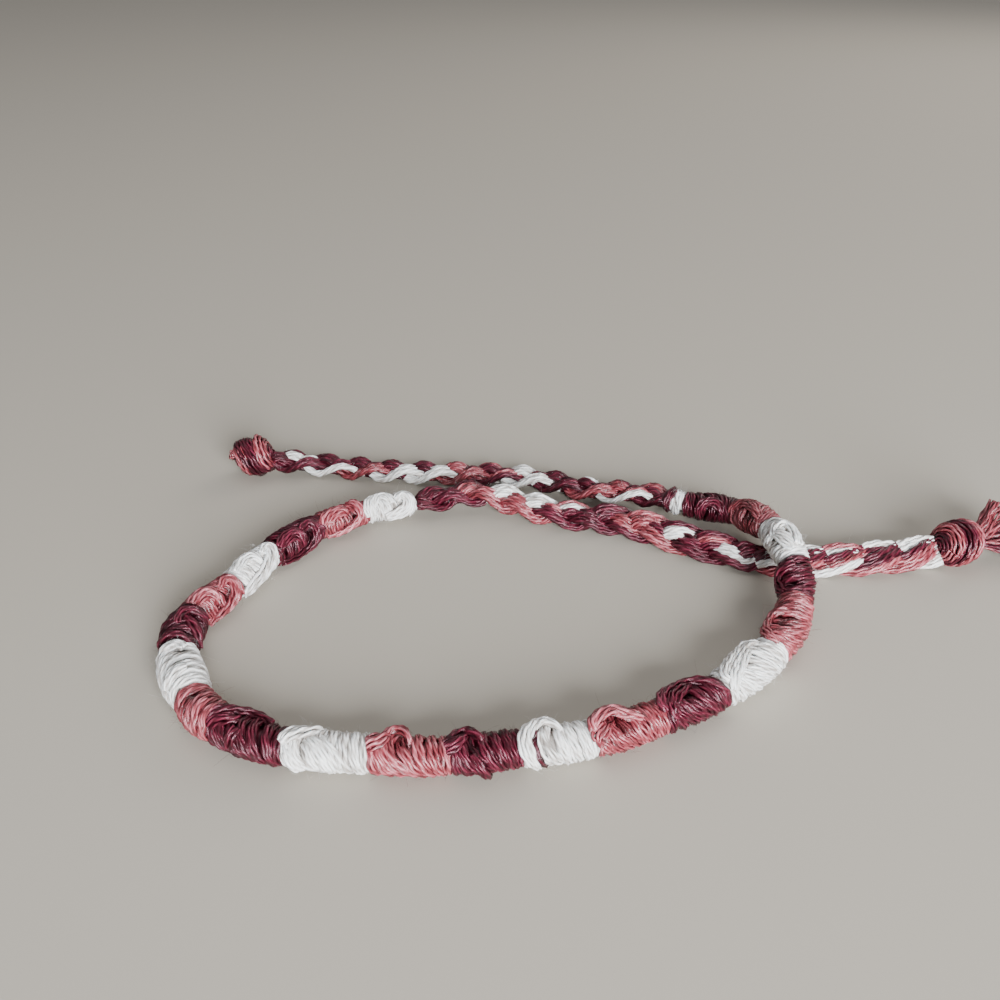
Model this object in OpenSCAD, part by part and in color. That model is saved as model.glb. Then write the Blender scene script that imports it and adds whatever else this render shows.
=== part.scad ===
// Knotted floss bracelet lying open on a surface, in millimetres.
// Sections of white, coral and burgundy knots follow one another round the loop,
// and a braided tie runs from each end of the loop to a knot and a cut tuft.
// X runs along the loop's long side, Y away from its front and Z up from the surface.

/* [Band] */
// Half the height of a section where it is plainly wound
wrap_r = 1.9; // [1.6:0.05:2.0]
// Width of the band as a share of its height
flatness = 1.08; // [1:0.02:1.1]
// Height of the ridge at the start of each section, above the wraps at its sides
ridge_h = 0.5; // [0.3:0.02:0.56]
// Depth of the mouth inside the ridge
mouth_d = 0.7; // [0.3:0.05:0.8]
// Gap between one section and the next
section_gap = 0.1; // [0.06:0.02:0.2]

/* [Ties] */
// Width of the braid that leaves the left end of the band
right_tie_w = 4.2; // [3.2:0.1:4.4]
// Width of the braid that leaves the right end of the band
left_tie_w = 3.2; // [2.8:0.1:3.4]
// Thickness of both braids
tie_t = 2.5; // [2.2:0.1:2.7]
// Length of an end knot along its tie
knot_l = 4.6; // [4:0.1:4.8]
// Half the width of an end knot
knot_r = 2.7; // [2.2:0.1:2.9]
// Thickness of a lock of a tuft where it leaves its knot
lock_w = 2.0; // [1.4:0.1:2.2]

/* [Hidden] */
SECTION_SIDES = 14;
KNOT_SIDES = 12;
TIE_SIDES = 8;
LOCK_SIDES = 6;
// Rings of a tie for each span between two points of its route
TIE_STEPS = 2;
FLOSS = [["white", "#E9E6E2"], ["coral", "#C06A68"], ["burgundy", "#6B2438"]];
TIE_COLOUR = "#A85860";
KNOT_COLOUR = "#8A3440";

// Route of the band, from its left end round the front to its right end. A row stands
// where two sections meet: x, y, girth as a share of the full size, lift above the
// surface, the angle of the next section's mouth, 0 outwards and 90 upwards, and the
// place of that section's ridge as a share of its length.
BAND = [
    [-11.5,  23.6, 0.86, 0.0, 150, 0.30],
    [-17.3,  21.4, 0.87, 0.0, 150, 0.40],
    [-23.0,  17.6, 0.92, 0.0, 140, 0.44],
    [-28.0,  11.0, 0.94, 0.0, 145, 0.42],
    [-31.0,   4.3, 0.97, 0.0, 145, 0.42],
    [-34.1,  -1.4, 0.99, 0.0, 125, 0.36],
    [-34.1,  -7.9, 1.02, 0.0, 105, 0.30],
    [-30.8, -15.0, 1.04, 0.0,  90, 0.32],
    [-27.3, -18.7, 1.04, 0.0, 100, 0.37],
    [-20.7, -21.8, 1.00, 0.0,  52, 0.28],
    [-12.5, -22.7, 1.00, 0.0,  85, 0.42],
    [ -5.0, -23.0, 1.00, 0.0,  80, 0.38],
    [  2.1, -22.1, 1.00, 0.0,  52, 0.28],
    [  9.1, -20.7, 1.00, 0.0,  68, 0.36],
    [ 16.6, -17.3, 1.00, 0.0, 100, 0.44],
    [ 23.0, -13.3, 1.00, 0.0, 105, 0.50],
    [ 29.7,  -6.8, 1.00, 0.1, 100, 0.36],
    [ 33.5,   0.4, 0.98, 0.8, 115, 0.30],
    [ 34.2,   5.6, 0.97, 2.6, 125, 0.40],
    [ 33.2,  13.0, 0.93, 2.6, 140, 0.36],
    [ 30.7,  20.2, 0.90, 0.6, 150, 0.42],
    [ 24.6,  23.2, 0.86, 0.1, 150, 0.30],
    [ 22.5,  24.4, 0.82, 0.1, 150, 0.30]];
// Places of the rings along a section, as shares of its length
LEVELS = [0, 0.02, 0.07, 0.13, 0.2, 0.27, 0.34, 0.42, 0.51, 0.62, 0.74, 0.87, 0.97, 1];

// Route of the tie from the band's left end: inside the loop, under the raised
// sections and out to the right. Each row is x, y, z and the roll of the flat braid.
RIGHT_TIE = [
    [-10.9, 23.9, 2.0,  0], [ -8.3, 24.6, 2.2,  0], [ -5.6, 25.3, 2.4,  0], [ -2.7, 25.5, 2.4,  0],
    [  0.4, 24.8, 2.2,  5], [  4.0, 23.2, 1.9, 10], [  7.6, 21.7, 1.7, 10], [ 11.2, 20.8, 1.6, 15],
    [ 15.0, 19.9, 1.7, 25], [ 18.8, 17.9, 1.8, 35], [ 23.0, 15.1, 1.8, 40], [ 27.2, 13.0, 1.7, 35],
    [ 31.2, 11.5, 1.5, 15], [ 35.4, 10.8, 1.5, 15], [ 39.6, 10.6, 1.7, 35], [ 44.2, 10.7, 1.8, 40],
    [ 48.4, 11.1, 1.9, 40], [ 51.2, 11.6, 2.0, 40], [ 53.7, 12.2, 2.3, 40]];
// Route of the tie from the band's right end, behind the other tie to the left
LEFT_TIE = [
    [ 22.1, 24.7, 2.0, 0], [ 19.8, 25.7, 2.2, 0], [ 16.9, 26.4, 2.1, 0], [ 13.9, 27.3, 1.8, 0],
    [ 11.3, 28.4, 1.6, 0], [  8.6, 30.0, 1.4, 0], [  5.4, 31.4, 1.3, 0], [  1.6, 32.4, 1.3, 0],
    [ -3.0, 33.0, 1.3, 0], [ -8.0, 33.2, 1.3, 0], [-13.4, 33.6, 1.3, 0], [-17.6, 34.2, 1.3, 0],
    [-21.2, 34.8, 1.3, 0], [-25.0, 35.3, 1.5, 0], [-28.7, 35.4, 1.9, 0], [-32.0, 35.4, 2.4, 0]];
// Locks of each tuft: turn to the left, rise, length and share of the full thickness
RIGHT_LOCKS = [
    [ 26, 36, 5.2, 1.0],
    [  8, 16, 8.6, 1.1],
    [ -8,  4, 8.2, 1.1],
    [-28, -6, 7.6, 1.0],
    [ 12, -6, 7.4, 0.9]];
LEFT_LOCKS = [
    [ 14, 12, 0.9, 0.7],
    [-16, -4, 0.7, 0.7]];

// How much higher the ridge stands at the mouth than at its sides, and lower behind, as
// a share of its height, and how far it lifts the band, as a share of its underside
ridge_lean = 0.8;
ridge_rest = 1.3;
// Ridge and mouth of a section, as places and widths in shares of its length
crest_swing = 0.62;
rise_w = 0.12;
fall_w = 0.19;
mouth_in = 0.16;
mouth_w = 0.09;
mouth_half_angle = 34;
end_tuck = 0.16;
tuck_w = 0.03;
// Round the knots: how far the end rings draw in, and the height and count of the ribs
knot_end = 0.62;
rib_h = 0.13;
rib_turns = 2.3;
knot_gap = 0.25;
knot_lift = 0.06;
right_head_l = 1.6;
left_head_l = 0.5;
head_share = 0.72;
root_share = 0.6;
tip_share = 0.9;

SECTIONS = len(BAND) - 1;
function floss(i) = FLOSS[i % len(FLOSS)];
function section_name(i) = str(i < 9 ? "section_0" : "section_", i + 1, "_", floss(i)[0]);

function unit(v) = v / norm(v);
function mix(a, b, t) = a + (b - a) * t;

// First three numbers of a row: its place or direction
function spot(v) = [v[0], v[1], v[2]];

// Row i of a route, with one more point past either end, on the line of the last span
function row(route, i) = let (last = len(route) - 1)
    i < 0 ? 2 * route[0] - route[1] : i > last ? 2 * route[last] - route[last - 1] : route[i];
// Smooth curve through the rows of a route, at the share u of span i, and its direction
function along(route, i, u) =
    let (a = row(route, i - 1), b = row(route, i), c = row(route, i + 1), d = row(route, i + 2))
    (2 * b + (c - a) * u + (2 * a - 5 * b + 4 * c - d) * u * u
        + (3 * b - a - 3 * c + d) * u * u * u) / 2;
function heading(route, i, u) =
    let (a = row(route, i - 1), b = row(route, i), c = row(route, i + 1), d = row(route, i + 2))
    unit((c - a) + 2 * (2 * a - 5 * b + 4 * c - d) * u + 3 * (3 * b - a - 3 * c + d) * u * u);

// Ring of points square to a direction and rolled about it by an angle: radii holds one
// [across, up] pair for each point
function ring(centre, forward, radii, roll = 0) =
    let (
        side = unit(cross(forward, [0, 0, 1])),
        up = cross(side, forward),
        across = cos(roll) * side - sin(roll) * up,
        over = sin(roll) * side + cos(roll) * up,
        n = len(radii))
    [for (j = [0:n - 1]) centre + radii[j][0] * cos(360 * j / n) * across
        + radii[j][1] * sin(360 * j / n) * over];

// Closed solid through a list of rings that all have the same number of points
module skin(rings) {
    n = len(rings[0]);
    last = len(rings) - 1;
    walls = [for (i = [0:last - 1], j = [0:n - 1])
        let (a = i * n + j, b = i * n + (j + 1) % n)
        each [[a, b, a + n], [b, b + n, a + n]]];
    start_cap = [for (j = [n - 1:-1:0]) j];
    end_cap = [for (j = [0:n - 1]) last * n + j];
    polyhedron([for (r = rings) each r], concat([start_cap, end_cap], walls));
}

// Height of a ridge at angle a from its mouth
function ridge_at_turn(a) = ridge_h * (1 + ridge_lean * cos(a));
// Route of the band as centre points: each row lies where its ridge touches the surface
CENTRES = [for (r = BAND)
    [r[0], r[1], (wrap_r + ridge_rest * ridge_at_turn(90 + r[4])) * r[2] + r[3]]];
GIRTHS = [for (r = BAND) r[2]];

// Half height of a section of full girth, at share u of its length and at angle a from
// its mouth: plain wraps, a tilted ridge round the place ridge_at and the mouth behind it
function section_r(u, a, ridge_at) =
    let (
        crest = ridge_at * (1 - crest_swing * cos(a)),
        spread = u < crest ? rise_w : fall_w,
        ridge = ridge_at_turn(a) * exp(-pow((u - crest) / spread, 2)),
        turn = abs(a) / mouth_half_angle,
        mouth = mouth_d * exp(-pow((u - crest - mouth_in) / mouth_w, 2) - turn * turn),
        tuck = end_tuck * (exp(-u / tuck_w) + exp((u - 1) / tuck_w)))
    wrap_r * (1 - tuck) + ridge - mouth;
// Angle brought to between -180 and 180
function turned(a) = a - 360 * round(a / 360);

// One section of knots in one colour
module section(i) {
    span_l = norm(CENTRES[i + 1] - CENTRES[i]);
    trim = section_gap / 2 / span_l;
    color(floss(i)[1])
        skin([for (level = LEVELS)
            let (
                u = mix(trim, 1 - trim, level),
                girth = mix(GIRTHS[i], GIRTHS[i + 1], u),
                radii = [for (j = [0:SECTION_SIDES - 1])
                    let (
                        a = turned(360 * j / SECTION_SIDES - BAND[i][4]),
                        r = girth * section_r(level, a, BAND[i][5]))
                    [r * flatness, r]])
            ring(along(CENTRES, i, u), heading(CENTRES, i, u), radii)]);
}

// Flat braid of the tie, swept along its route
module tie_braid(route, width) {
    last = len(route) - 1;
    half = [for (j = [0:TIE_SIDES - 1]) [width / 2, tie_t / 2]];
    color(TIE_COLOUR)
        skin([for (i = [0:last - 1], k = [0:i < last - 1 ? TIE_STEPS - 1 : TIE_STEPS])
            let (place = along(route, i, k / TIE_STEPS), way = heading(route, i, k / TIE_STEPS))
            ring(spot(place), unit(spot(way)), half, place[3])]);
}

// End knot: a barrel of slanting wraps that lies on the surface past the route's end
function knot_way(route) = let (h = heading(route, len(route) - 2, 1)) unit([h[0], h[1], 0]);
function knot_start(route) =
    let (end = spot(route[len(route) - 1]) + knot_gap * knot_way(route))
    [end[0], end[1], knot_r + knot_lift];
module tie_knot(route) {
    rings = 10;
    color(KNOT_COLOUR)
        skin([for (i = [0:rings])
            let (
                u = i / rings,
                barrel = mix(knot_end, 1, sqrt(sin(180 * u))),
                radii = [for (j = [0:KNOT_SIDES - 1])
                    let (r = knot_r * barrel * (1 - rib_h / 2
                        + rib_h * sin(180 * u) * cos(360 * (rib_turns * u - j / KNOT_SIDES))))
                    [r, r]])
            ring(knot_start(route) + knot_l * u * knot_way(route), knot_way(route), radii)]);
}

// Cut tuft: tapering locks that spread from one small head on the knot's far side
module tie_tuft(route, locks, head_l) {
    way = knot_way(route);
    head = knot_start(route) + (knot_l + knot_gap) * way;
    yaw = atan2(way[1], way[0]);
    color(TIE_COLOUR) union() {
        translate(head) rotate([0, 90, yaw]) cylinder(h = head_l, r = lock_w * head_share, $fn = 12);
        for (lock = locks) {
            forward = [cos(yaw + lock[0]) * cos(lock[1]), sin(yaw + lock[0]) * cos(lock[1]), sin(lock[1])];
            root = head + head_l * root_share * way;
            skin([for (step = [[0, 0.8], [0.35, 1.1], [1, tip_share]])
                let (r = lock_w * lock[3] * step[1] / 2)
                ring(root + forward * lock[2] * step[0], forward,
                    [for (j = [0:LOCK_SIDES - 1]) [r, r]])]);
        }
    }
}

for (i = [0:SECTIONS - 1])
    section(i);
tie_braid(RIGHT_TIE, right_tie_w);  // right_tie_braid
tie_knot(RIGHT_TIE);  // right_tie_knot
tie_tuft(RIGHT_TIE, RIGHT_LOCKS, right_head_l);  // right_tie_tuft
tie_braid(LEFT_TIE, left_tie_w);  // left_tie_braid
tie_knot(LEFT_TIE);  // left_tie_knot
tie_tuft(LEFT_TIE, LEFT_LOCKS, left_head_l);  // left_tie_tuft
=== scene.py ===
"""Bracelet of knotted cotton floss, with every ply of its wraps, braids, knots and cut ends.

Lengths are in millimetres until a mesh is made. A section's share runs from 0 at its start
to 1 at its end, and angles go round the band in degrees, 0 outwards and 90 upwards.
"""

import bpy
import numpy as np
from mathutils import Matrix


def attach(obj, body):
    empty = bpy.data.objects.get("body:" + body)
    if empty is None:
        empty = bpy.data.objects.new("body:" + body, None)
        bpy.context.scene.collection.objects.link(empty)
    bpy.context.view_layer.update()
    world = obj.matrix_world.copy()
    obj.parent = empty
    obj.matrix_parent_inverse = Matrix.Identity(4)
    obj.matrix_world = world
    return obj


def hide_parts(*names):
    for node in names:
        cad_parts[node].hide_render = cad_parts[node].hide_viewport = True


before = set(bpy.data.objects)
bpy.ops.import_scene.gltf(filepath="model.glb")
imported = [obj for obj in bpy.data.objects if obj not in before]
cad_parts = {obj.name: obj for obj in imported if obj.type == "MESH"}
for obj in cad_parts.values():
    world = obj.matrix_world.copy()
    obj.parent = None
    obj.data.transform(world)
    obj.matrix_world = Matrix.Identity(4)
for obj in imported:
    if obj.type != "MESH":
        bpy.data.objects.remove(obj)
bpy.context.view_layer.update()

MM = 0.001
TURN = 2 * np.pi

# Route of the band, as in the frame: x, y, girth, lift, mouth angle, ridge place
BAND = np.array([
    [-11.5,  23.6, 0.86, 0.0, 150, 0.30],
    [-17.3,  21.4, 0.87, 0.0, 150, 0.40],
    [-23.0,  17.6, 0.92, 0.0, 140, 0.44],
    [-28.0,  11.0, 0.94, 0.0, 145, 0.42],
    [-31.0,   4.3, 0.97, 0.0, 145, 0.42],
    [-34.1,  -1.4, 0.99, 0.0, 125, 0.36],
    [-34.1,  -7.9, 1.02, 0.0, 105, 0.30],
    [-30.8, -15.0, 1.04, 0.0,  90, 0.32],
    [-27.3, -18.7, 1.04, 0.0, 100, 0.37],
    [-20.7, -21.8, 1.00, 0.0,  52, 0.28],
    [-12.5, -22.7, 1.00, 0.0,  85, 0.42],
    [ -5.0, -23.0, 1.00, 0.0,  80, 0.38],
    [  2.1, -22.1, 1.00, 0.0,  52, 0.28],
    [  9.1, -20.7, 1.00, 0.0,  68, 0.36],
    [ 16.6, -17.3, 1.00, 0.0, 100, 0.44],
    [ 23.0, -13.3, 1.00, 0.0, 105, 0.50],
    [ 29.7,  -6.8, 1.00, 0.1, 100, 0.36],
    [ 33.5,   0.4, 0.98, 0.8, 115, 0.30],
    [ 34.2,   5.6, 0.97, 2.6, 125, 0.40],
    [ 33.2,  13.0, 0.93, 2.6, 140, 0.36],
    [ 30.7,  20.2, 0.90, 0.6, 150, 0.42],
    [ 24.6,  23.2, 0.86, 0.1, 150, 0.30],
    [ 22.5,  24.4, 0.82, 0.1, 150, 0.30]])
FLOSS = ["white", "coral", "burgundy"]
# Form of a section, as in the frame
WRAP_R = 1.9
FLATNESS = 1.08
RIDGE_H = 0.5
RIDGE_LEAN = 0.8
RIDGE_REST = 1.3
RIDGE_SWING = 0.62
RISE_W = 0.12
FALL_W = 0.19
MOUTH_D = 0.7
MOUTH_IN = 0.16
MOUTH_W = 0.09
MOUTH_HALF = 34
END_TUCK = 0.16
TUCK_W = 0.03

# Ties, as in the frame: x, y, z and the roll of the flat braid
RIGHT_TIE = np.array([
    [-10.9, 23.9, 2.0,  0], [ -8.3, 24.6, 2.2,  0], [ -5.6, 25.3, 2.4,  0], [ -2.7, 25.5, 2.4,  0],
    [  0.4, 24.8, 2.2,  5], [  4.0, 23.2, 1.9, 10], [  7.6, 21.7, 1.7, 10], [ 11.2, 20.8, 1.6, 15],
    [ 15.0, 19.9, 1.7, 25], [ 18.8, 17.9, 1.8, 35], [ 23.0, 15.1, 1.8, 40], [ 27.2, 13.0, 1.7, 35],
    [ 31.2, 11.5, 1.5, 15], [ 35.4, 10.8, 1.5, 15], [ 39.6, 10.6, 1.7, 35], [ 44.2, 10.7, 1.8, 40],
    [ 48.4, 11.1, 1.9, 40], [ 51.2, 11.6, 2.0, 40], [ 53.7, 12.2, 2.3, 40]])
LEFT_TIE = np.array([
    [ 22.1, 24.7, 2.0, 0], [ 19.8, 25.7, 2.2, 0], [ 16.9, 26.4, 2.1, 0], [ 13.9, 27.3, 1.8, 0],
    [ 11.3, 28.4, 1.6, 0], [  8.6, 30.0, 1.4, 0], [  5.4, 31.4, 1.3, 0], [  1.6, 32.4, 1.3, 0],
    [ -3.0, 33.0, 1.3, 0], [ -8.0, 33.2, 1.3, 0], [-13.4, 33.6, 1.3, 0], [-17.6, 34.2, 1.3, 0],
    [-21.2, 34.8, 1.3, 0], [-25.0, 35.3, 1.5, 0], [-28.7, 35.4, 1.9, 0], [-32.0, 35.4, 2.4, 0]])
TIE_T = 2.5
KNOT_L = 4.6
KNOT_R = 2.7
KNOT_GAP = 0.25
KNOT_LIFT = 0.06
# Locks of each tuft: turn to the left, rise, length and share of the full thickness
RIGHT_LOCKS = [
    [26, 36, 5.2, 1.0], [8, 16, 8.6, 1.1], [-8, 4, 8.2, 1.1], [-28, -6, 7.6, 1.0], [12, -6, 7.4, 0.9]]
LEFT_LOCKS = [[14, 12, 0.9, 0.7], [-16, -4, 0.7, 0.7]]
LOCK_W = 2.5

# Floss: a thread has six plies that circle its middle in a slow S twist
PLIES = 6
PLY_R = 0.205
PLY_SIDES = 6
THREAD_W = 1.12
THREAD_H = 0.86
TWIST_L = 24.0
# A ply is two yarns in a tight S twist
YARN_TURN_L = 3.0
YARN_SWING = 0.24
# How much darker a ply is painted on its inner side, as painted shade where it lies against its
# neighbours, and how far all of it stays above the floor
SIDE_PAINTED_SHADE = 0.5
FLOOR_GAP = 0.01
WRAP_PITCH = 0.98
WRAP_LEAN = 0.12


def unit(v):
    """Vectors brought to length one."""
    return v / np.linalg.norm(v, axis=-1, keepdims=True)


def travelled(paths):
    """Length run along each path up to each of its points."""
    steps = np.linalg.norm(np.diff(paths, axis=-2), axis=-1)
    return np.concatenate([np.zeros(steps.shape[:-1] + (1,)), np.cumsum(steps, -1)], -1)


def spline(rows, t):
    """Smooth curve through rows at places t, the row's number plus a share of the span:
    each span is the cubic of its four nearest rows, with one row more past either end on
    the line of the last span. Gives the places and their directions of travel."""
    rows = np.vstack([2 * rows[0] - rows[1], rows, 2 * rows[-1] - rows[-2]])
    span = np.clip(np.floor(t).astype(int), 0, len(rows) - 4)
    u = (np.asarray(t) - span)[..., None]
    a, b, c, d = (rows[span + k] for k in range(4))
    bend, pull = 2 * a - 5 * b + 4 * c - d, 3 * b - a - 3 * c + d
    place = (2 * b + (c - a) * u + bend * u ** 2 + pull * u ** 3) / 2
    return place, (c - a) + 2 * bend * u + 3 * pull * u ** 2


def across_and_up(way):
    """The level direction square to a way of travel, to its right, and the one square to both."""
    side = unit(np.cross(way, [0.0, 0.0, 1.0]))
    return side, np.cross(side, way)


def square_to(paths, outward):
    """Directions across each path and out from it, square to its travel and to each other:
    the second is the outward direction, turned as little as that takes."""
    way = unit(np.gradient(paths, axis=-2))
    across = unit(np.cross(way, outward))
    return across, np.cross(across, way)


class Weave:
    """Tubes and skins gathered for one mesh: points, faces, their UV, tone and material."""

    def __init__(self):
        self.points, self.tones, self.quads, self.tris = [], [], [], []
        self.quad_uv, self.quad_slot, self.tri_slot = [], [], []
        self.count = 0

    def grid(self, points, tone, slot, start_u=0.0):
        """Adds skins over arrays of rings, points[tube, ring, side]: each ring joins the next
        with four-sided faces and each end closes on the middle of its ring. The tone is one
        number or one for each point, and the material one number, one for each tube, or one for
        each tube and span between rings. U is the length along a tube in millimetres, from its
        start's value, and V goes once round it."""
        tubes, rings, sides = points.shape[:3]
        index = self.count + np.arange(tubes * rings * sides).reshape(tubes, rings, sides)
        after = np.roll(index, -1, axis=2)
        corners = [index[:, :-1], after[:, :-1], after[:, 1:], index[:, 1:]]
        self.quads.append(np.stack(corners, -1).reshape(-1, 4))
        along = travelled(points.mean(2)) + start_u
        u = np.broadcast_to(along[:, :, None], (tubes, rings, sides))
        v = np.broadcast_to(np.arange(sides) / sides, (tubes, rings, sides))
        corner_u = np.stack([u[:, :-1], u[:, :-1], u[:, 1:], u[:, 1:]], -1)
        corner_v = np.stack([v[:, :-1], v[:, :-1] + 1 / sides, v[:, :-1] + 1 / sides, v[:, :-1]], -1)
        self.quad_uv.append(np.stack([corner_u, corner_v], -1).reshape(-1, 4, 2))
        slot = np.asarray(slot)
        slot = slot.reshape(slot.shape + (1,) * (3 - slot.ndim))
        slots = np.broadcast_to(slot, (tubes, rings - 1, sides))
        self.quad_slot.append(slots.reshape(-1))
        self.points.append(points.reshape(-1, 3))
        tone = np.broadcast_to(tone, (tubes, rings, sides)).astype(float)
        self.tones.append(tone.reshape(-1))
        self.count += tubes * rings * sides
        middle = self.count + np.arange(2 * tubes).reshape(2, tubes, 1)
        self.points.append(np.concatenate([points[:, 0].mean(1), points[:, -1].mean(1)]))
        self.tones.append(np.concatenate([tone[:, 0].mean(1), tone[:, -1].mean(1)]))
        first = np.stack([np.broadcast_to(middle[0], (tubes, sides)), after[:, 0], index[:, 0]], -1)
        last = np.stack([np.broadcast_to(middle[1], (tubes, sides)), index[:, -1], after[:, -1]], -1)
        self.tris.append(np.concatenate([first, last]).reshape(-1, 3))
        self.tri_slot.append(np.concatenate([slots[:, 0], slots[:, -1]]).reshape(-1))
        self.count += 2 * tubes

    def tubes(self, paths, outward, radius, tone, slot, sides=PLY_SIDES, start=None):
        """Adds tubes along many paths at once: a ring's point is the path's point plus the
        radius times the cosine of its turn outwards and the sine of it across. A start is the
        turn at which a ply's two yarns begin: the radius then swings twice round each ring, and
        the swing turns back with the length travelled, as in an S twist. U starts so that a
        yarn's top is where V plus U by the turn's length is a whole or a half. The tone falls
        from a tube's outward side to its inward one as painted shade, where tubes lie against one
        another, and what would reach below the floor lies flat on it."""
        across, out = square_to(paths, outward)
        turn = TURN * np.arange(sides) / sides
        radius = np.broadcast_to(radius, paths.shape[:2])[:, :, None, None]
        start_u = 0.0
        if start is not None:
            spin = start - TURN * travelled(paths) / YARN_TURN_L
            radius = radius * (1 + YARN_SWING * np.cos(2 * (turn - spin[:, :, None])))[..., None]
            start_u = -start * YARN_TURN_L / TURN
        rings = paths[:, :, None] + radius * (
            np.cos(turn)[:, None] * out[:, :, None] + np.sin(turn)[:, None] * across[:, :, None])
        rings[..., 2] = np.maximum(rings[..., 2], FLOOR_GAP)
        # Painted shade: the tone falls towards each tube's inward side
        tone = np.broadcast_to(tone, paths.shape[:2])[..., None] - SIDE_PAINTED_SHADE * (1 - np.cos(turn)) / 2
        self.grid(rings, tone, slot, start_u)

    def piece(self, name, materials, slot_name):
        """The gathered mesh as one smooth piece that rides on the frame."""
        mesh = bpy.data.meshes.new(name)
        points = np.concatenate(self.points) * MM
        quads = np.concatenate(self.quads)
        tris = np.concatenate(self.tris)
        corners = np.concatenate([quads.reshape(-1), tris.reshape(-1)])
        totals = np.concatenate([np.full(len(quads), 4), np.full(len(tris), 3)])
        mesh.vertices.add(len(points))
        mesh.vertices.foreach_set("co", points.astype(np.float32).reshape(-1))
        mesh.loops.add(len(corners))
        mesh.loops.foreach_set("vertex_index", corners.astype(np.int32))
        mesh.polygons.add(len(totals))
        mesh.polygons.foreach_set("loop_start", (np.cumsum(totals) - totals).astype(np.int32))
        slots = np.concatenate(self.quad_slot + self.tri_slot)
        mesh.polygons.foreach_set("material_index", slots.astype(np.int32))
        mesh.polygons.foreach_set("use_smooth", np.ones(len(totals), bool))
        uv = mesh.uv_layers.new(name="along_and_round")
        flat = np.concatenate([np.concatenate(self.quad_uv).reshape(-1), np.zeros(6 * len(tris))])
        uv.data.foreach_set("uv", flat.astype(np.float32))
        # The tone holds each ply's own random shade together with painted shade on inner sides, in mouths,
        # on cores and on lower layers
        tone = mesh.attributes.new("tone", "FLOAT", "POINT")
        tone.data.foreach_set("value", np.concatenate(self.tones).astype(np.float32))
        mesh.update(calc_edges=True)
        mesh.validate()
        for material in materials:
            mesh.materials.append(material)
        piece = bpy.data.objects.new(name, mesh)
        bpy.context.collection.objects.link(piece)
        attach(piece, "root")
        return piece


# Camera at the photograph's height and tilt, looking along +Y
CAMERA_PLACE = (0.1, -95.8, 72.8)
CAMERA_DROP = 30.5
FOCAL_SHARE = 1.05
SENSOR_W = 36.0


def set_camera():
    """The camera, tilted down from the level by its drop. The focal length is a share of the
    picture's width."""
    data = bpy.data.cameras.new("camera")
    data.sensor_width = SENSOR_W
    data.lens = SENSOR_W * FOCAL_SHARE
    data.clip_start = 0.005
    camera = bpy.data.objects.new("camera", data)
    camera.location = [v * MM for v in CAMERA_PLACE]
    camera.rotation_euler = (np.radians(90 - CAMERA_DROP), 0, 0)
    bpy.context.collection.objects.link(camera)
    bpy.context.scene.camera = camera


# Floss materials: how much of the way from deep to pale the yarns take, painted paler on their
# tops as a highlight and darker in the grooves between them as shade, and how much the streaks
# of fibre take, and from what start, how high both stand in the bump, how fine the streaks are,
# how fast they change along a ply, and the bump's height in metres
YARN_PAINTED_LIGHT_AND_SHADE = 0.22
STREAK_SHADE = 0.7
SHADE_START = -0.37
YARN_RELIEF = 0.5
STREAK_RELIEF = 1.2
STREAK_SCALE = 2.4
STREAK_RATE = 0.9
RELIEF_M = 0.00006


def node(tree, kind, inputs=(), **settings):
    """A new shader node with its settings, and its inputs, by name or number, linked or set."""
    new = tree.nodes.new(kind)
    for key, value in settings.items():
        setattr(new, key, value)
    for key, value in dict(inputs).items():
        if isinstance(value, bpy.types.NodeSocket):
            tree.links.new(value, new.inputs[key])
        else:
            new.inputs[key].default_value = value
    return new


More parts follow.
